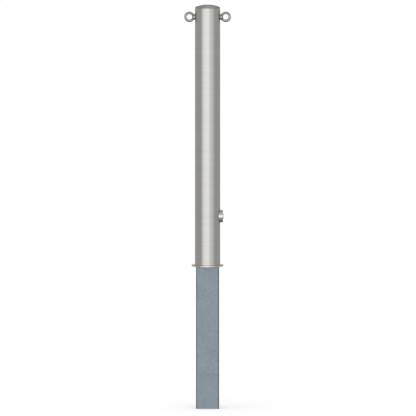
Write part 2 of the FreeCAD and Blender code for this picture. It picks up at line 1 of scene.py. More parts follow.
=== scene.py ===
# %% [markdown]
# # A removable stainless steel post with its ground socket
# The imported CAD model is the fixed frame: every piece is already at its real size and place,
# in metres, with the origin on the post's axis at pavement level. This lesson dresses it.
# It sets up a camera and a plain studio, gives each piece the finish of the real metal, and
# adds the small things that a welder or a turner leaves behind.

# %% Load the frame
import bpy
import json
import math
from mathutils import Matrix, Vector


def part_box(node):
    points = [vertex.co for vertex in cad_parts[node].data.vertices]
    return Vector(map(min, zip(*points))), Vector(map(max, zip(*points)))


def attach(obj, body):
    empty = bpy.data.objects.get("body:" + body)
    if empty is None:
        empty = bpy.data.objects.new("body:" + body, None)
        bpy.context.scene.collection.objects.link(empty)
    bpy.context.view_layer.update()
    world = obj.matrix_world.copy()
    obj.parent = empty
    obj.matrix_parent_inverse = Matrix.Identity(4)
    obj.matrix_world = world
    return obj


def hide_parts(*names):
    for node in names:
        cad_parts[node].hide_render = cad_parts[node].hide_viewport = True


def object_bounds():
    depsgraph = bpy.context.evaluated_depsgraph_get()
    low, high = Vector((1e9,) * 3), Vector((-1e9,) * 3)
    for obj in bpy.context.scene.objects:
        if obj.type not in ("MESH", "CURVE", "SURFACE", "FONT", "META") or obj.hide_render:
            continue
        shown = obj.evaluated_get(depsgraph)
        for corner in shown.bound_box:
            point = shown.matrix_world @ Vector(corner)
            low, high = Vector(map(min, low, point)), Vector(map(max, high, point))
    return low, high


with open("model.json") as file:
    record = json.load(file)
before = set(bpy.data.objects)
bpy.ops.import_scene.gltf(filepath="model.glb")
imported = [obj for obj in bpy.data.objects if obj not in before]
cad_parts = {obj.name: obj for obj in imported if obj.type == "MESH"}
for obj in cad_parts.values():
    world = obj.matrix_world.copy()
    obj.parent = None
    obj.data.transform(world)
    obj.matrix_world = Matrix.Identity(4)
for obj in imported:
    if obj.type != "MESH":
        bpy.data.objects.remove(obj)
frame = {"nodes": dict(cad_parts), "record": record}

MM = 0.001
cad_low, cad_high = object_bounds()
nodes = frame["nodes"]
print("CAD box in metres:", [round(v, 4) for v in (*cad_low, *cad_high)])

# %% [markdown]
# ## The camera
# The post was photographed from far away with a long lens, so its sides stay parallel. A very
# long lens on a distant camera does the same and still works from every side. The picture is
# 416 pixels wide, and the 76.1 mm tube covers 25.24 of them, which gives the frame's width.
# The camera looks at the point of the axis plane that falls on the picture's middle.

# %% Scale of the picture
PICTURE_PIXELS = 416
TUBE_PIXELS = 25.24
AXIS_PIXEL_X = 207.58
PAVEMENT_PIXEL_Y = 265.95
CAMERA_TILT = math.radians(5.3)

tube_low, tube_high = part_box("post_tube")
tube_radius = (tube_high[0] - tube_low[0]) / 2
metres_per_pixel = 2 * tube_radius / TUBE_PIXELS
frame_width = PICTURE_PIXELS * metres_per_pixel
half_picture = PICTURE_PIXELS / 2
look_at = Vector((
    (half_picture - AXIS_PIXEL_X) * metres_per_pixel,
    0.0,
    (PAVEMENT_PIXEL_Y - half_picture) * metres_per_pixel / math.cos(CAMERA_TILT)))
print(f"a pixel is {metres_per_pixel / MM:.3f} mm")

# %% Place the camera
LENS_MM = 1200.0
SENSOR_MM = 36.0
towards_camera = Vector((0.0, -math.cos(CAMERA_TILT), math.sin(CAMERA_TILT)))
camera_distance = frame_width / 2 / (SENSOR_MM / 2 / LENS_MM)

camera_data = bpy.data.cameras.new("studio_camera")
camera_data.lens = LENS_MM
camera_data.sensor_width = SENSOR_MM
camera_data.clip_end = 4 * camera_distance
camera = bpy.data.objects.new("studio_camera", camera_data)
bpy.context.scene.collection.objects.link(camera)
camera.location = look_at + towards_camera * camera_distance
camera.rotation_mode = "QUATERNION"
camera.rotation_quaternion = (-towards_camera).to_track_quat("-Z", "Y")
bpy.context.scene.camera = camera
print(f"camera {camera_distance:.1f} m away, frame {frame_width:.3f} m wide")

# %% [markdown]
# ## Two helpers
# Colours are written as the sRGB hex values that a colour picker shows, and the renderer wants
# linear light, so one function converts them. A second one adds a shader node with its
# settings and its links in one call, which keeps each material short enough to read. The Mix
# node keeps a set of sockets for each kind of data, so its colour sockets get names here.

# %% Colour and node helpers
SHARE, COLOUR_A, COLOUR_B, COLOUR_OUT = 0, 6, 7, 2
WHITE = "#FFFFFF"


def linear_colour(hex_code):
    """Turn an sRGB hex value into the linear colour that the renderer works in."""
    channels = [int(hex_code[i:i + 2], 16) / 255 for i in (1, 3, 5)]
    linear = [c / 12.92 if c <= 0.04045 else ((c + 0.055) / 1.055) ** 2.4 for c in channels]
    return (*linear, 1.0)


def add_node(tree, kind, inputs=None, **settings):
    """Add a node with its settings. An input's value is a number, a colour or an output."""
    node = tree.nodes.new(kind)
    for name, value in settings.items():
        setattr(node, name, value)
    for socket, value in (inputs or {}).items():
        if isinstance(value, bpy.types.NodeSocket):
            tree.links.new(value, node.inputs[socket])
        else:
            node.inputs[socket].default_value = value
    return node


# %% [markdown]
# ## A white sky
# The sky lights the matt surfaces evenly from all sides. It is dimmer for lighting than for
# looking at: what the camera, a mirror or a glass sees of it is pure white, as the backdrop
# of a product picture is, and the Light Path node tells the two apart.

# %% World
AMBIENT = 0.84

world = bpy.data.worlds.new("white_studio")
bpy.context.scene.world = world
world.use_nodes = True
sky = world.node_tree
sky.nodes.clear()
path = add_node(sky, "ShaderNodeLightPath")
seen = add_node(sky, "ShaderNodeMath", {
    0: path.outputs["Is Camera Ray"], 1: path.outputs["Is Glossy Ray"]}, operation="ADD")
seen = add_node(sky, "ShaderNodeMath", {
    0: seen.outputs[0], 1: path.outputs["Is Transmission Ray"]}, operation="ADD", use_clamp=True)
lighting = add_node(sky, "ShaderNodeBackground", {
    "Color": linear_colour(WHITE), "Strength": AMBIENT})
backdrop = add_node(sky, "ShaderNodeBackground", {"Color": linear_colour(WHITE), "Strength": 1.0})
mixed = add_node(sky, "ShaderNodeMixShader", {
    0: seen.outputs[0], 1: lighting.outputs[0], 2: backdrop.outputs[0]})
add_node(sky, "ShaderNodeOutputWorld", {"Surface": mixed.outputs[0]})
print("sky lights at", AMBIENT, "and shows as white")

# %% [markdown]
# ## A soft lamp and a pale floor
# One very wide lamp adds a little shape. With the sky it lights a surface to a plain level,
# at which a colour renders about as it is written. The lamp is kept out of reflections, where
# a round bright disc would show in every curve. The floor is a pale sheet just under the
# socket's end, and it keeps the post's soft shadow. In the photograph the sheet is lit so
# strongly that the shadow is nearly gone. More light would also fall on the post, so the
# camera alone sees the sheet shine a little, and the post is lit by the plain sheet.

# %% Lamp
LAMP_STRENGTH = 0.85
LAMP_WIDTH = math.radians(90)
LAMP_ANGLES = (math.radians(38), 0.0, math.radians(-35))

lamp_data = bpy.data.lights.new("soft_lamp", "SUN")
lamp_data.energy = LAMP_STRENGTH
lamp_data.angle = LAMP_WIDTH
lamp = bpy.data.objects.new("soft_lamp", lamp_data)
lamp.rotation_euler = LAMP_ANGLES
lamp.visible_glossy = False
bpy.context.scene.collection.objects.link(lamp)
print("lamp", round(math.degrees(LAMP_WIDTH)), "degrees wide, at strength", LAMP_STRENGTH)

# %% Floor
FLOOR_COLOUR = "#FEFEFE"
FLOOR_ROUGHNESS = 0.9
FLOOR_SIZE = 90.0
FLOOR_DROP = 0.5 * MM
FLOOR_SHINE = 0.5

bpy.ops.object.select_all(action="DESELECT")
bpy.ops.mesh.primitive_plane_add(size=FLOOR_SIZE, location=(0, 0, cad_low[2] - FLOOR_DROP))
floor = bpy.context.object
floor.name = "studio_floor"
floor_paint = bpy.data.materials.new("pale_floor_paint")
floor_paint.use_nodes = True
sheet = floor_paint.node_tree
sheet.nodes.clear()
matt = add_node(sheet, "ShaderNodeBsdfPrincipled", {
    "Base Color": linear_colour(FLOOR_COLOUR), "Roughness": FLOOR_ROUGHNESS,
    "Specular IOR Level": 0.0})
shine = add_node(sheet, "ShaderNodeEmission", {"Color": linear_colour(WHITE), "Strength": 1.0})
path = add_node(sheet, "ShaderNodeLightPath")
share = add_node(sheet, "ShaderNodeMath", {
    0: path.outputs["Is Camera Ray"], 1: FLOOR_SHINE}, operation="MULTIPLY")
mixed = add_node(sheet, "ShaderNodeMixShader", {
    0: share.outputs[0], 1: matt.outputs[0], 2: shine.outputs[0]})
add_node(sheet, "ShaderNodeOutputMaterial", {"Surface": mixed.outputs[0]})
floor_paint.cycles.emission_sampling = "NONE"
floor.data.materials.append(floor_paint)
floor.visible_glossy = False
print("floor at", round(floor.location.z / MM, 1), "mm")

# %% [markdown]
# ## What the metal reflects
# A cylinder of smooth steel is a mirror that shows the whole room squeezed into a few
# centimetres, so the bands on the tube are the room. A photographer stands such a post in a
# light tent: bright cloth near the camera, greyer cloth at the sides and behind, and a paler
# sheet high up behind the post, which the domed cap picks up. Under that cloth a narrow gap
# lets the white backdrop through, and the flat flange shows it at its two ends.
#
# The cloth is written as colours at angles: round the post, in degrees from the camera and
# positive to the right, and up from the horizon. A list of angles is easy to match to the
# bands on the tube, because a band at a share s of the radius mirrors the angle 2 asin(s).

# %% Colours of the tent
LOW_ROUND = (
    (-180, "#7E7E7C"), (-150, "#989896"), (-60, "#9C9C9A"), (-51, "#C1C1C0"),
    (-40, "#EFEFEF"), (-22, "#F6F6F6"), (0, "#FFFFFF"), (13, "#FCFCFC"), (22, "#D6D7D5"),
    (34, "#D1D3D1"), (47, "#CCCECC"), (57, "#B8BAB8"), (68, "#9C9C9B"), (150, "#949492"),
    (180, "#7E7E7C"),
)
HIGH_ROUND = (
    (-180, "#E4E4E2"), (-165, "#D0D0CE"), (-150, "#B2B2B0"), (-60, "#9A9A98"),
    (-51, "#C1C1C0"), (-40, "#EEEEEE"), (0, "#FBFBFB"), (13, "#F8F8F8"), (22, "#D4D5D3"),
    (47, "#CBCDCB"), (68, "#9C9C9B"), (150, "#B6B6B4"), (168, "#E6E6E4"), (180, "#E4E4E2"),
)
# how much of that light is left, by degrees above the horizon
UPWARDS = (
    (-90, "#686868"), (-72, "#848484"), (-50, "#848484"), (-34, "#989898"), (-22, "#BCBCBC"),
    (-10, "#FFFFFF"), (16, "#FFFFFF"), (24, "#B9B9B9"), (51, "#B8B8B8"), (72, "#B4B4B4"),
    (90, "#909090"),
)


def angle_ramp(tree, angle, limit, stops):
    """A colour by angle, from a list of degrees and hex colours between -limit and limit."""
    share = add_node(tree, "ShaderNodeMapRange", {
        "Value": angle, "From Min": -math.radians(limit), "From Max": math.radians(limit)})
    ramp = add_node(tree, "ShaderNodeValToRGB", {0: share.outputs[0]})
    elements = ramp.color_ramp.elements
    for index, (degrees, colour) in enumerate(stops):
        position = (degrees + limit) / (2 * limit)
        stop = elements[index] if index < 2 else elements.new(position)
        stop.position = position
        stop.color = linear_colour(colour)
    return ramp.outputs[0]


# %% [markdown]
# ## The tent's sphere
# The tent is one large sphere round the post. Only reflections see it: it is invisible to the
# camera, gives no light to matt surfaces and casts no shadow, so it changes nothing else.

# %% Tent sphere
TENT_RADIUS = 10.0
TENT_HEIGHT = 0.3
TENT_SEGMENTS = 96
TENT_RINGS = 48

bpy.ops.object.select_all(action="DESELECT")
bpy.ops.mesh.primitive_uv_sphere_add(segments=TENT_SEGMENTS, ring_count=TENT_RINGS,
                                     radius=TENT_RADIUS, location=(0, 0, TENT_HEIGHT))
tent = bpy.context.object
tent.name = "light_tent"
tent.visible_camera = False
tent.visible_diffuse = False
tent.visible_shadow = False
print("light tent", [round(v, 1) for v in tent.dimensions], "m")

# %% [markdown]
# ## The tent's cloth
# The material turns each point of the sphere back into its two angles. The angle round comes
# from X and Y, and the angle up from the height. The low colours change into the high ones
# between two elevations, and the third list dims both towards the floor and the top.

# %% Angles on the sphere
fabric = bpy.data.materials.new("tent_fabric")
fabric.use_nodes = True
cloth = fabric.node_tree
cloth.nodes.clear()
spot = add_node(cloth, "ShaderNodeTexCoord")
axes = add_node(cloth, "ShaderNodeSeparateXYZ", {0: spot.outputs["Object"]})
to_camera = add_node(cloth, "ShaderNodeMath", {0: axes.outputs["Y"], 1: -1.0},
                     operation="MULTIPLY")
around = add_node(cloth, "ShaderNodeMath", {0: axes.outputs["X"], 1: to_camera.outputs[0]},
                  operation="ARCTAN2").outputs[0]
height = add_node(cloth, "ShaderNodeMath", {0: axes.outputs["Z"], 1: TENT_RADIUS},
                  operation="DIVIDE")
upward = add_node(cloth, "ShaderNodeMath", {0: height.outputs[0]}, operation="ARCSINE").outputs[0]
print("two angles from", len(cloth.nodes), "nodes")

# %% Cloth by angle
PALE_SHEET_EDGE = (math.radians(22), math.radians(38))

above = add_node(cloth, "ShaderNodeMapRange", {
    "Value": upward, "From Min": PALE_SHEET_EDGE[0], "From Max": PALE_SHEET_EDGE[1]},
    interpolation_type="SMOOTHSTEP")
hung = add_node(cloth, "ShaderNodeMix", {
    SHARE: above.outputs[0], COLOUR_A: angle_ramp(cloth, around, 180, LOW_ROUND),
    COLOUR_B: angle_ramp(cloth, around, 180, HIGH_ROUND)}, data_type="RGBA")
dimmed = add_node(cloth, "ShaderNodeMix", {
    SHARE: 1.0, COLOUR_A: hung.outputs[COLOUR_OUT],
    COLOUR_B: angle_ramp(cloth, upward, 90, UPWARDS)}, data_type="RGBA", blend_type="MULTIPLY")
print("pale sheet from", [round(math.degrees(edge)) for edge in PALE_SHEET_EDGE], "degrees up")

# %% Gap behind the post
TENT_STRENGTH = 1.28
GAP_HEIGHT = math.radians(3.6)
GAP_EDGE = (math.radians(1.5), math.radians(2.5))
GAP_AROUND = (math.radians(150), math.radians(165))

turned_away = add_node(cloth, "ShaderNodeMath", {0: around}, operation="ABSOLUTE")
behind = add_node(cloth, "ShaderNodeMapRange", {
    "Value": turned_away.outputs[0], "From Min": GAP_AROUND[0], "From Max": GAP_AROUND[1]})
off_gap = add_node(cloth, "ShaderNodeMath", {0: upward, 1: GAP_HEIGHT}, operation="SUBTRACT")
off_gap = add_node(cloth, "ShaderNodeMath", {0: off_gap.outputs[0]}, operation="ABSOLUTE")
level_with_gap = add_node(cloth, "ShaderNodeMapRange", {
    "Value": off_gap.outputs[0], "From Min": GAP_EDGE[0], "From Max": GAP_EDGE[1],
    "To Min": 1.0, "To Max": 0.0})
gap = add_node(cloth, "ShaderNodeMath", {0: behind.outputs[0], 1: level_with_gap.outputs[0]},
               operation="MULTIPLY")
with_gap = add_node(cloth, "ShaderNodeMix", {
    SHARE: gap.outputs[0], COLOUR_A: dimmed.outputs[COLOUR_OUT],
    COLOUR_B: linear_colour(WHITE)}, data_type="RGBA")
glow = add_node(cloth, "ShaderNodeEmission", {
    "Color": with_gap.outputs[COLOUR_OUT], "Strength": TENT_STRENGTH})
add_node(cloth, "ShaderNodeOutputMaterial", {"Surface": glow.outputs[0]})
fabric.cycles.emission_sampling = "NONE"
tent.data.materials.append(fabric)
print("tent cloth:", len(LOW_ROUND), "colours low down,", len(HIGH_ROUND), "high up")

# %% [markdown]
# ## Tools for the metals
# All the finishes share three steps. A metal starts as a fully metallic shader, whose colour
# is the tone of its mirror. A noise then blends two close tones. And a noise, the same one or
# a finer one, varies the roughness a little and gives a shallow relief.

# %% Metal helpers
def metal(name):
    """A new material with a fully metallic shader."""
    material = bpy.data.materials.new(name)
    material.use_nodes = True
    material.node_tree.nodes["Principled BSDF"].inputs["Metallic"].default_value = 1.0
    return material


def two_tones(tree, noise, span, dark, light):
    """The colour that goes from dark to light while the noise crosses its span."""
    share = add_node(tree, "ShaderNodeMapRange", {
        "Value": noise, "From Min": span[0], "From Max": span[1]})
    tones = add_node(tree, "ShaderNodeMix", {
        SHARE: share.outputs[0], COLOUR_A: linear_colour(dark),
        COLOUR_B: linear_colour(light)}, data_type="RGBA")
    return tones.outputs[COLOUR_OUT]


def finish_metal(material, colour, gloss, roughness, relief, depth):
    """Link a colour, let the gloss noise vary the roughness, and raise the relief noise.

    Gloss is a noise and its span, roughness the values at the span's two ends, relief a
    noise and its strength, and depth is in metres.
    """
    tree = material.node_tree
    shader = tree.nodes["Principled BSDF"]
    gloss_noise, span = gloss
    relief_noise, strength = relief
    rough = add_node(tree, "ShaderNodeMapRange", {
        "Value": gloss_noise, "From Min": span[0], "From Max": span[1],
        "To Min": roughness[0], "To Max": roughness[1]})
    bump = add_node(tree, "ShaderNodeBump", {
        "Height": relief_noise, "Strength": strength, "Distance": depth})
    tree.links.new(colour, shader.inputs["Base Color"])
    tree.links.new(rough.outputs[0], shader.inputs["Roughness"])
    tree.links.new(bump.outputs[0], shader.inputs["Normal"])


# %% [markdown]
# ## Metal that was rubbed or cut in rings
# Brushing and turning leave fine scratches that run round an axis. They do two things. They
# show as rings, which are noise that hardly changes round the axis and changes quickly along
# the surface. And they smear reflected light across the scratches, which is the shader's
# anisotropy. Both need to know the way round the axis, so one function works it out from the
# piece's own coordinates: it moves the axis to the origin and takes the distance from it.

# %% Places round an axis
AXES = {"X": (1, 0, 0), "Y": (0, 1, 0), "Z": (0, 0, 1)}


def ring_places(tree, axis, centre):
    """Where a point lies about an axis: its place, its way round, its way along the surface."""
    where = add_node(tree, "ShaderNodeTexCoord")
    moved = add_node(tree, "ShaderNodeMapping", {
        "Vector": where.outputs["Object"], "Location": [-c for c in centre]})
    way_round = add_node(tree, "ShaderNodeVectorMath", {0: AXES[axis], 1: moved.outputs[0]},
                         operation="CROSS_PRODUCT")
    from_axis = add_node(tree, "ShaderNodeVectorMath", {0: way_round.outputs[0]},
                         operation="LENGTH")
    parts = add_node(tree, "ShaderNodeSeparateXYZ", {0: moved.outputs[0]})
    along = add_node(tree, "ShaderNodeMath", {
        0: parts.outputs[axis], 1: from_axis.outputs["Value"]}, operation="ADD")
    return moved.outputs[0], way_round.outputs[0], along.outputs[0]


def ring_noise(tree, place, along, length, width):
    """Noise drawn out round the axis: lines of a length and a width in metres, about 0.5."""
    slow = add_node(tree, "ShaderNodeVectorMath", {0: place, "Scale": 1 / length},
                    operation="SCALE")
    quick = add_node(tree, "ShaderNodeMath", {0: along, 1: 1 / width}, operation="MULTIPLY")
    return add_node(tree, "ShaderNodeTexNoise", {
        "Vector": slow.outputs[0], "W": quick.outputs[0], "Scale": 1.0, "Detail": 3.0,
        "Roughness": 0.6}, noise_dimensions="4D").outputs["Fac"]


# %% Ringed metal
RING_TONES = (0.7, 1.3)
RING_SPAN = (0.3, 0.7)
RING_GLOSS_SWING = 0.04
RING_RELIEF = 0.2
QUARTER_TURN = 0.25


def ringed_metal(name, dark, light, roughness, anisotropy, axis, centre, lines, depth):
    """Metal with rings round an axis: two sizes of line in its tone, the finer in its relief."""
    material = metal(name)
    tree = material.node_tree
    place, way_round, along = ring_places(tree, axis, centre)
    wide, fine = [ring_noise(tree, place, along, *line) for line in lines]
    both = add_node(tree, "ShaderNodeMath", {0: wide, 1: fine}, operation="ADD")
    turned = add_node(tree, "ShaderNodeVectorTransform", {0: way_round}, vector_type="VECTOR",
                      convert_from="OBJECT", convert_to="WORLD")
    finish_metal(
        material, two_tones(tree, both.outputs[0], RING_TONES, dark, light),
        gloss=(fine, RING_SPAN),
        roughness=(roughness - RING_GLOSS_SWING, roughness + RING_GLOSS_SWING),
        relief=(fine, RING_RELIEF), depth=depth)
    shader = tree.nodes["Principled BSDF"]
    tree.links.new(turned.outputs[0], shader.inputs["Tangent"])
    shader.inputs["Anisotropic"].default_value = anisotropy
    shader.inputs["Anisotropic Rotation"].default_value = QUARTER_TURN
    return material


# %% [markdown]
# ## Lines that a weld leaves
# Two welds show only as a thin level line round a piece: the cap's ground seam on the post,
# and the floor plate's seam on the socket. Both are drawn the same way, by the distance of a
# point's height from the line's height.

# %% Level line
def level_line(tree, colour, height, half_width, darkening):
    """The colour, darkened in a soft level line at a height."""
    where = add_node(tree, "ShaderNodeTexCoord")
    parts = add_node(tree, "ShaderNodeSeparateXYZ", {0: where.outputs["Object"]})
    off_line = add_node(tree, "ShaderNodeMath", {0: parts.outputs["Z"], 1: height},
                        operation="SUBTRACT")
    off_line = add_node(tree, "ShaderNodeMath", {0: off_line.outputs[0]}, operation="ABSOLUTE")
    left = add_node(tree, "ShaderNodeMapRange", {
        "Value": off_line.outputs[0], "From Min": 0.0, "From Max": half_width,
        "To Min": darkening, "To Max": 1.0}, interpolation_type="SMOOTHSTEP")
    return add_node(tree, "ShaderNodeMix", {
        SHARE: 1.0, COLOUR_A: colour, COLOUR_B: left.outputs[0]},
        data_type="RGBA", blend_type="MULTIPLY").outputs[COLOUR_OUT]


# %% [markdown]
# ## Brushed stainless steel
# The tube and its cap are 1.4301 stainless, brushed round and round with about 240 grit. That
# gives the eye a soft mirror with long vertical bands and faint level rings. Real scratches
# are about 0.1 mm apart, too fine to show, so the fine lines are drawn at 0.5 mm and faint
# bands at 8 mm. Two marks are added over them. The cap was welded on and ground flush, which
# leaves a hair line that is a little duller. And the steel round the lock's sleeve is darker
# in a ring, which is partly the grey straw tint of a wiped weld and partly painted shade.

# %% Brushed stainless
BRUSHED_LINES = ((250 * MM, 8.3 * MM), (100 * MM, 0.53 * MM))
CAP_SEAM_HALF = 0.5 * MM
CAP_SEAM_DULLING = 0.93
# a darker ring on the tube round the lock's sleeve: partly weld tint, partly painted shade
WELD_TINT_AND_SHADE = "#A39C90"
WELD_TINT_AND_SHADE_WIDTH = 7 * MM
WELD_TINT_AND_SHADE_SHARE = 0.55
sleeve_low, sleeve_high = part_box("lock_sleeve")
sleeve_radius = (sleeve_high[1] - sleeve_low[1]) / 2
lock_height = (sleeve_low[2] + sleeve_high[2]) / 2


def brushed_stainless():
    """The post's own finish, with the cap's ground seam and weld tint with painted shade round
    the sleeve.
    """
    material = ringed_metal(
        "brushed_stainless_240_grit", dark="#D6D5D2", light="#E2E1DE", roughness=0.31,
        anisotropy=0.6, axis="Z", centre=(0, 0, 0), lines=BRUSHED_LINES, depth=0.05 * MM)
    tree = material.node_tree
    base_colour = tree.nodes["Principled BSDF"].inputs["Base Color"]
    plain = base_colour.links[0].from_socket
    seamed = level_line(tree, plain, tube_high[2], CAP_SEAM_HALF, CAP_SEAM_DULLING)
    # painted shade and weld tint together: the tube's colour darkens towards the sleeve
    where = add_node(tree, "ShaderNodeTexCoord")
    off_sleeve = add_node(tree, "ShaderNodeVectorMath", {
        0: where.outputs["Object"], 1: (tube_radius, 0, lock_height)}, operation="DISTANCE")
    tint_and_shade = add_node(tree, "ShaderNodeMapRange", {
        "Value": off_sleeve.outputs["Value"], "From Min": sleeve_radius,
        "From Max": sleeve_radius + WELD_TINT_AND_SHADE_WIDTH, "To Min": WELD_TINT_AND_SHADE_SHARE, "To Max": 0.0},
        interpolation_type="SMOOTHSTEP")
    tinted_and_shaded = add_node(tree, "ShaderNodeMix", {
        SHARE: tint_and_shade.outputs[0], COLOUR_A: seamed, COLOUR_B: linear_colour(WELD_TINT_AND_SHADE)},
        data_type="RGBA")
    tree.links.new(tinted_and_shaded.outputs[COLOUR_OUT], base_colour)
    return material


BRUSHED = brushed_stainless()
print("weld tint to", round((sleeve_radius + WELD_TINT_AND_SHADE_WIDTH) / MM, 1), "mm from the lock's axis")

# %% [markdown]
# ## Turned metal
# The lock's sleeve, spindle and bolt and the foot flange come off a lathe. A turning tool
# leaves rings that are finer and brighter than brushing: a real feed is about 0.1 mm, and
# the lines are drawn at 0.4 mm to show. Each piece has its own axis, so the same recipe is
# made once for each: the sleeve and spindle lie along X, the bolt along Y and the flange
# along Z. The flange's tones are lighter than the sleeve's, which is a painted highlight.
# The bush is bronze, a warm brown metal with the same rings.

# %% Turned metals
TURNED_LINES = ((125 * MM, 3.8 * MM), (83 * MM, 0.38 * MM))
TURNED_DEPTH = 0.03 * MM
lock_axis = (0.0, 0.0, lock_height)
bolt_low, bolt_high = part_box("lock_bolt")
bolt_axis = (0.0, 0.0, (bolt_low[2] + bolt_high[2]) / 2)


def turned_metal(name, dark, light, roughness, anisotropy, axis, centre):
    """A metal off the lathe, with its rings round an axis."""
    return ringed_metal(name, dark, light, roughness, anisotropy, axis, centre,
                        lines=TURNED_LINES, depth=TURNED_DEPTH)


TURNED_SLEEVE = turned_metal(
    "bright_turned_stainless", dark="#DAD9D6", light="#E8E7E4", roughness=0.15,
    anisotropy=0.35, axis="X", centre=lock_axis)
TURNED_BOLT = turned_metal(
    "bright_turned_bolt_steel", dark="#CFCECB", light="#DEDDDA", roughness=0.20,
    anisotropy=0.35, axis="Y", centre=bolt_axis)
# painted highlight: the flange's turned stainless gets lighter tones than the sleeve's
TURNED_FLANGE_PAINTED_BRIGHT = turned_metal(
    "turned_flange_stainless_painted_highlight", dark="#E4E3E0", light="#EFEEEC", roughness=0.26,
    anisotropy=0.5, axis="Z", centre=(0, 0, 0))
BRONZE = turned_metal(
    "turned_bearing_bronze", dark="#A97C45", light="#C29559", roughness=0.28,
    anisotropy=0.35, axis="X", centre=lock_axis)
print("turned about heights", round(lock_height / MM), "and", round(bolt_axis[2] / MM), "mm")

# %% [markdown]
# ## Cast, rolled, plated and welded metal
# These finishes have no axis. The eyes are precision castings, tumbled and polished to a
# satin that keeps a faint orange peel with lumps of under 2 mm. Their tones are set darker
# than the tube's, which is painted shade. Rolled plate and tube have a dull mill finish,
# whose grain is 4 mm wide and 80 mm long here, along the tube. The crank and the rod are zinc
# plated, with a thin blue and straw passivation that drifts over about 11 mm. A clean TIG
# weld is bright and slightly uneven, with lumps of about 1 mm.

# %% Satin metals
LUMP_SPAN = (0.3, 0.7)
LUMP_GLOSS_SWING = 0.03
LUMP_RELIEF = 0.3


def satin_metal(name, dark, light, roughness, lump, depth):
    """A satin metal whose tone and relief drift in lumps of a size along X, Y and Z."""
    material = metal(name)
    tree = material.node_tree
    where = add_node(tree, "ShaderNodeTexCoord")
    scaled = add_node(tree, "ShaderNodeMapping", {
        "Vector": where.outputs["Object"], "Scale": [1 / size for size in lump]})
    lumps = add_node(tree, "ShaderNodeTexNoise", {
        "Vector": scaled.outputs[0], "Scale": 1.0, "Detail": 4.0,
        "Roughness": 0.55}).outputs["Fac"]
    finish_metal(
        material, two_tones(tree, lumps, LUMP_SPAN, dark, light), gloss=(lumps, LUMP_SPAN),
        roughness=(roughness - LUMP_GLOSS_SWING, roughness + LUMP_GLOSS_SWING),
        relief=(lumps, LUMP_RELIEF), depth=depth)
    return material


# painted shade: the eyes' polished stainless gets darker tones than the tube's
CAST_PAINTED_DARK = satin_metal("satin_cast_stainless_painted_shade", dark="#AFAEAA", light="#BCBBB8", roughness=0.14,
                   lump=(1.7 * MM, 1.7 * MM, 1.7 * MM), depth=0.03 * MM)
MILL = satin_metal("mill_finish_stainless", dark="#B2B2B0", light="#C6C6C3", roughness=0.36,
                   lump=(4 * MM, 4 * MM, 80 * MM), depth=0.02 * MM)
ZINC_PLATE = satin_metal("blue_passivated_zinc_plate", dark="#B9C0C8", light="#CFCDBF",
                         roughness=0.26, lump=(11 * MM, 11 * MM, 11 * MM), depth=0.01 * MM)
WELD = satin_metal("tig_weld_stainless", dark="#D5D2CC", light="#E2DFDA", roughness=0.30,
                   lump=(1.1 * MM, 1.1 * MM, 1.1 * MM), depth=0.03 * MM)
print("satin metals:", ", ".join(m.name for m in (CAST_PAINTED_DARK, MILL, ZINC_PLATE, WELD)))

# %% [markdown]
# ## Hot-dip galvanised steel
# The ground socket was dipped whole in molten zinc, which froze in flat crystals, the
# spangle, and then weathered to a blue grey. That gives the eye a dull, cloudy metal. A thin
# patina covers it, so it is set a little less than fully metallic. Crystals are 5 to 10 mm
# across and feathered at their edges. A cell pattern draws them, and a fine noise pushes each
# point a little before the cells are looked up, which feathers the edges. Each cell gets a
# slightly different tone. At the welded floor plate the zinc ran off slower and left a faint
# darker line.

# %% Spangle
SPANGLE_SIZE = 6 * MM
FEATHER_SIZE = 2.5 * MM
FEATHER_PUSH = 2.0 * MM
NOISE_MIDDLE = (0.5, 0.5, 0.5)


def spangle(tree, place):
    """Zinc crystals: two values from 0 to 1 that are the same all over each crystal."""
    feather = add_node(tree, "ShaderNodeTexNoise", {
        "Vector": place, "Scale": 1 / FEATHER_SIZE, "Detail": 2.0})
    push = add_node(tree, "ShaderNodeVectorMath", {
        0: feather.outputs["Color"], 1: NOISE_MIDDLE}, operation="SUBTRACT")
    push = add_node(tree, "ShaderNodeVectorMath", {
        0: push.outputs[0], "Scale": 2 * FEATHER_PUSH}, operation="SCALE")
    pushed = add_node(tree, "ShaderNodeVectorMath", {0: place, 1: push.outputs[0]},
                      operation="ADD")
    crystals = add_node(tree, "ShaderNodeTexVoronoi", {
        "Vector": pushed.outputs[0], "Scale": 1 / SPANGLE_SIZE, "Randomness": 1.0})
    values = add_node(tree, "ShaderNodeSeparateColor", {0: crystals.outputs["Color"]})
    return values.outputs[0], values.outputs[1]


# %% Galvanised steel
CLOUD_SIZE = 35 * MM
CRYSTAL_SHARE = 0.35
ZINC_TONES = (0.25, 0.75)
ZINC_DARK = "#8E99A3"
ZINC_LIGHT = "#98A3AC"
ZINC_ROUGHNESS = (0.43, 0.49)
ZINC_METALLIC = 0.85
ZINC_RELIEF = 0.3
ZINC_DEPTH = 0.3 * MM
HEAT_LINE_HALF = 4.0 * MM
HEAT_LINE_DARKENING = 0.90
floor_plate_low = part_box("socket_floor_plate")[0]


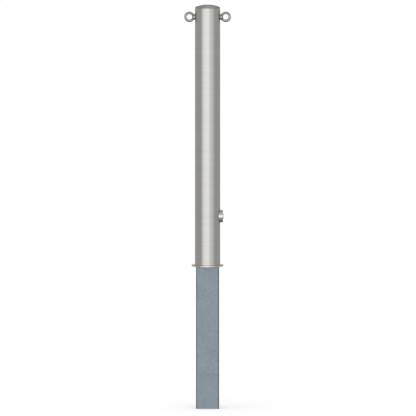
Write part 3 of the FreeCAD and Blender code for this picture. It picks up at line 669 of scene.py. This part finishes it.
def galvanised_steel():
    """Weathered zinc: cloudy blue grey with crystals, and a heat line at the floor plate."""
    material = metal("hot_dip_galvanised_steel")
    tree = material.node_tree
    place = add_node(tree, "ShaderNodeTexCoord").outputs["Object"]
    crystal_tone, crystal_gloss = spangle(tree, place)
    clouds = add_node(tree, "ShaderNodeTexNoise", {
        "Vector": place, "Scale": 1 / CLOUD_SIZE, "Detail": 5.0,
        "Roughness": 0.65}).outputs["Fac"]
    mottle = add_node(tree, "ShaderNodeMix", {SHARE: CRYSTAL_SHARE, 2: clouds, 3: crystal_tone},
                      data_type="FLOAT").outputs[0]
    colour = two_tones(tree, mottle, ZINC_TONES, ZINC_DARK, ZINC_LIGHT)
    finish_metal(
        material,
        level_line(tree, colour, floor_plate_low[2], HEAT_LINE_HALF, HEAT_LINE_DARKENING),
        gloss=(crystal_gloss, (0.0, 1.0)), roughness=ZINC_ROUGHNESS,
        relief=(clouds, ZINC_RELIEF), depth=ZINC_DEPTH)
    tree.nodes["Principled BSDF"].inputs["Metallic"].default_value = ZINC_METALLIC
    return material


GALVANISED = galvanised_steel()
print("galvanised: heat line at", round(floor_plate_low[2] / MM), "mm")

# %% [markdown]
# ## Dress the carried-over pieces
# The record says which finish each piece takes. Two turned pieces have a finish of their own,
# because their rings run round another axis. The flange's is also lighter: a painted highlight.

# %% Assign the finishes
FINISHES = {
    "brushed_stainless": BRUSHED, "turned_stainless": TURNED_SLEEVE, "polished_stainless": CAST_PAINTED_DARK,
    "plain_stainless": MILL, "galvanised_steel": GALVANISED, "zinc_plated_steel": ZINC_PLATE,
    "bronze": BRONZE,
}
OWN_FINISHES = {"lock_bolt": TURNED_BOLT, "foot_flange": TURNED_FLANGE_PAINTED_BRIGHT}

for part in frame["record"]["subparts"]:
    piece = nodes[part["node"]]
    finish = OWN_FINISHES.get(part["node"], FINISHES[part["material_slot"]])
    piece.data.materials.clear()
    piece.data.materials.append(finish)

# %% [markdown]
# ## The round tube
# The CAD tube reaches Blender as a few long triangles between its holes and its ends. On so
# smooth a mirror each of them shows as a stripe, so the tube is built again with the same
# form. It could be turned as a profile, but a cylinder with a wall from Solidify is simpler.
# It has 192 strips, and it is cut into rings near each hole, because a boolean cut spoils the
# shading of every face that it touches: the cut then stays inside a short ring of faces.

# %% Tube with rings for the holes
TUBE_STRIPS = 192
RING_MARGIN = 4 * MM
NUT_HOLE_RADIUS = 5.5 * MM
nut_low, nut_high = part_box("rivet_nut_right")
nut_height = (nut_low[2] + nut_high[2]) / 2

bpy.ops.object.select_all(action="DESELECT")
bpy.ops.mesh.primitive_cylinder_add(
    vertices=TUBE_STRIPS, radius=tube_radius, depth=tube_high[2] - tube_low[2],
    end_fill_type="NOTHING", location=(0, 0, (tube_high[2] + tube_low[2]) / 2))
tube = bpy.context.object
tube.name = "round_tube"
bpy.ops.object.transform_apply(location=True, rotation=True, scale=True)
bpy.ops.object.mode_set(mode="EDIT")
for middle, reach in ((lock_height, sleeve_radius), (nut_height, NUT_HOLE_RADIUS)):
    for level in (middle - reach - RING_MARGIN, middle + reach + RING_MARGIN):
        bpy.ops.mesh.select_all(action="SELECT")
        bpy.ops.mesh.bisect(plane_co=(0, 0, level), plane_no=(0, 0, 1))
bpy.ops.object.mode_set(mode="OBJECT")
print("tube skin", len(tube.data.polygons), "faces")

# %% Wall of the tube
TUBE_WALL = 2.6 * MM

wall = tube.modifiers.new("wall", "SOLIDIFY")
wall.thickness = TUBE_WALL
wall.offset = -1
wall.use_even_offset = True
bpy.ops.object.modifier_apply(modifier=wall.name)
print("tube wall", len(tube.data.polygons), "faces")

# %% [markdown]
# ## Holes in the tube
# One hole on the right takes the lock's sleeve, and one hole through both sides takes the
# rivet nuts of the eyes. Each is cut as a drill would cut it: a cylinder stands for the drill,
# a boolean takes it out of the wall, and the drill is thrown away.

# %% Drill the tube
DRILL_STRIPS = 128
LYING_ALONG_X = (0, math.radians(90), 0)
# radius, height, middle along X and length of each drill
HOLES = ((sleeve_radius, lock_height, tube_radius, 2 * tube_radius),
         (NUT_HOLE_RADIUS, nut_height, 0.0, 4 * tube_radius))
SHARP_ANGLE = math.radians(35)

for radius, level, middle, length in HOLES:
    bpy.ops.object.select_all(action="DESELECT")
    bpy.ops.mesh.primitive_cylinder_add(
        vertices=DRILL_STRIPS, radius=radius, depth=length, location=(middle, 0, level),
        rotation=LYING_ALONG_X)
    drill = bpy.context.object
    cut = tube.modifiers.new("hole", "BOOLEAN")
    cut.operation = "DIFFERENCE"
    cut.solver = "EXACT"
    cut.object = drill
    bpy.context.view_layer.objects.active = tube
    bpy.ops.object.modifier_apply(modifier=cut.name)
    bpy.data.objects.remove(drill, do_unlink=True)
bpy.ops.object.select_all(action="DESELECT")
tube.select_set(True)
bpy.context.view_layer.objects.active = tube
bpy.ops.object.shade_smooth_by_angle(angle=SHARP_ANGLE)
print("drilled tube", len(tube.data.polygons), "faces")

# %% Put the tube on the post
tube.data.materials.clear()
tube.data.materials.append(BRUSHED)
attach(tube, "post")
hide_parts("post_tube")
print("round tube", [round(v / MM, 2) for v in tube.dimensions], "mm")

# %% [markdown]
# ## Weld beads
# Three seams are welded by hand: the tube on its flange, the sleeve in the tube and the
# square spigot under the flange. A TIG weld is a row of small pools that froze one over the
# other, about 1.6 mm apart. A loop of points is drawn along the seam, turned into a curve
# with a round section, and the radius of each point swells and shrinks once for each pool.
# Half of the bead's round section is sunk in the metal, so only the outer half shows.

# %% Points and place of a seam
POOL_SPACING = 1.6 * MM
POINTS_PER_POOL = 6
SEAM_STAND_OFF = 0.2 * MM


def apply_place(piece):
    """Put the object's place and turn into its mesh."""
    bpy.ops.object.select_all(action="DESELECT")
    piece.select_set(True)
    bpy.context.view_layer.objects.active = piece
    bpy.ops.object.transform_apply(location=True, rotation=True, scale=True)


def ring_points(radius):
    """How many points a round seam needs, so that each pool has its share."""
    return POINTS_PER_POOL * round(2 * math.pi * radius / POOL_SPACING)


# %% Bead along a seam
POOL_SWELL = 0.05
BEAD_STEPS = 3
MERGE_DISTANCE = 0.001 * MM


def sweep_bead(loop, bead_radius):
    """Turn a closed loop of points into a rippled bead, and count its pools."""
    apply_place(loop)
    bpy.ops.object.convert(target="CURVE")
    curve = loop.data
    curve.dimensions = "3D"
    curve.bevel_depth = bead_radius
    curve.bevel_resolution = BEAD_STEPS
    points = curve.splines[0].points
    pools = round(len(points) / POINTS_PER_POOL)
    for index, point in enumerate(points):
        point.radius = 1 + POOL_SWELL * math.sin(2 * math.pi * pools * index / len(points))
    bpy.ops.object.convert(target="MESH")
    return pools


def weld_bead(loop, name, bead_radius):
    """Sweep a bead along a loop, close it, turn its faces outwards and put it on the post."""
    pools = sweep_bead(loop, bead_radius)
    bpy.ops.object.mode_set(mode="EDIT")
    bpy.ops.mesh.select_all(action="SELECT")
    bpy.ops.mesh.remove_doubles(threshold=MERGE_DISTANCE)
    bpy.ops.mesh.normals_make_consistent(inside=False)
    bpy.ops.object.mode_set(mode="OBJECT")
    bpy.ops.object.shade_smooth()
    bead = bpy.context.object
    bead.name = name
    bead.data.materials.clear()
    bead.data.materials.append(WELD)
    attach(bead, "post")
    print(name, len(bead.data.polygons), "faces,", pools, "pools")


# %% [markdown]
# ## The tube's seam on its flange
# This seam is the one that people see, so the welder keeps it small: a circle at the tube's
# foot, with a bead just over 1 mm wide.

# %% Tube on flange
FLANGE_BEAD_RADIUS = 0.6 * MM
flange_low, flange_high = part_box("foot_flange")
flange_seam = tube_radius + SEAM_STAND_OFF

bpy.ops.object.select_all(action="DESELECT")
bpy.ops.mesh.primitive_circle_add(
    vertices=ring_points(flange_seam), radius=flange_seam,
    location=(0, 0, flange_high[2] + SEAM_STAND_OFF))
weld_bead(bpy.context.object, "flange_weld", FLANGE_BEAD_RADIUS)

# %% [markdown]
# ## The sleeve's seam in the tube
# Where a round sleeve goes into a round tube, the seam is a saddle. A flat circle is drawn
# beside the post, and Shrinkwrap drops it along X onto the tube, which bends it to the saddle.

# %% Sleeve in tube
SLEEVE_BEAD_RADIUS = 1.2 * MM
sleeve_seam = sleeve_radius + SEAM_STAND_OFF

bpy.ops.object.select_all(action="DESELECT")
bpy.ops.mesh.primitive_circle_add(
    vertices=ring_points(sleeve_seam), radius=sleeve_seam,
    location=(2 * tube_radius, 0, lock_height), rotation=LYING_ALONG_X)
sleeve_loop = bpy.context.object
apply_place(sleeve_loop)
wrap = sleeve_loop.modifiers.new("wrap", "SHRINKWRAP")
wrap.target = tube
wrap.wrap_method = "PROJECT"
wrap.use_project_x = True
wrap.use_negative_direction = True
wrap.use_positive_direction = False
bpy.ops.object.modifier_apply(modifier=wrap.name)
weld_bead(sleeve_loop, "sleeve_weld", SLEEVE_BEAD_RADIUS)

# %% [markdown]
# ## The spigot's seam under the flange
# This seam runs round a square with round corners. A square plane gets its corners bevelled
# and its face deleted, which leaves the loop. The long sides are then divided, so that the
# points lie about as close along them as round the corners.

# %% Loop round the spigot
SPIGOT_CORNER = 5 * MM
CORNER_STEPS = 6
spigot_low, spigot_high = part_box("spigot_tube")
spigot_side = spigot_high[0] - spigot_low[0]

bpy.ops.object.select_all(action="DESELECT")
bpy.ops.mesh.primitive_plane_add(size=spigot_side + 2 * SEAM_STAND_OFF,
                                 location=(0, 0, flange_low[2] - SEAM_STAND_OFF))
spigot_loop = bpy.context.object
apply_place(spigot_loop)
bpy.ops.object.mode_set(mode="EDIT")
bpy.ops.mesh.select_all(action="SELECT")
bpy.ops.mesh.bevel(offset=SPIGOT_CORNER, segments=CORNER_STEPS, affect="VERTICES")
bpy.ops.mesh.delete(type="ONLY_FACE")
bpy.ops.object.mode_set(mode="OBJECT")
print("spigot", round(spigot_side / MM, 1), "mm wide, in", len(spigot_loop.data.edges), "edges")

# %% Spigot under flange
SPIGOT_BEAD_RADIUS = 1.2 * MM
STRAIGHT_CUTS = 40
POINT_CUTS = 3

for edge in spigot_loop.data.edges:
    start, end = [spigot_loop.data.vertices[v].co for v in edge.vertices]
    edge.select = (start - end).length > SPIGOT_CORNER
bpy.ops.object.mode_set(mode="EDIT")
bpy.ops.mesh.select_mode(type="EDGE")
bpy.ops.mesh.subdivide(number_cuts=STRAIGHT_CUTS)
bpy.ops.mesh.select_all(action="SELECT")
bpy.ops.mesh.subdivide(number_cuts=POINT_CUTS)
bpy.ops.mesh.select_mode(type="VERT")
bpy.ops.object.mode_set(mode="OBJECT")
weld_bead(spigot_loop, "spigot_weld", SPIGOT_BEAD_RADIUS)

# %% [markdown]
# ## Colour management
# The Standard view shows a colour as it is written.

bpy.context.scene.view_settings.view_transform = "Standard"
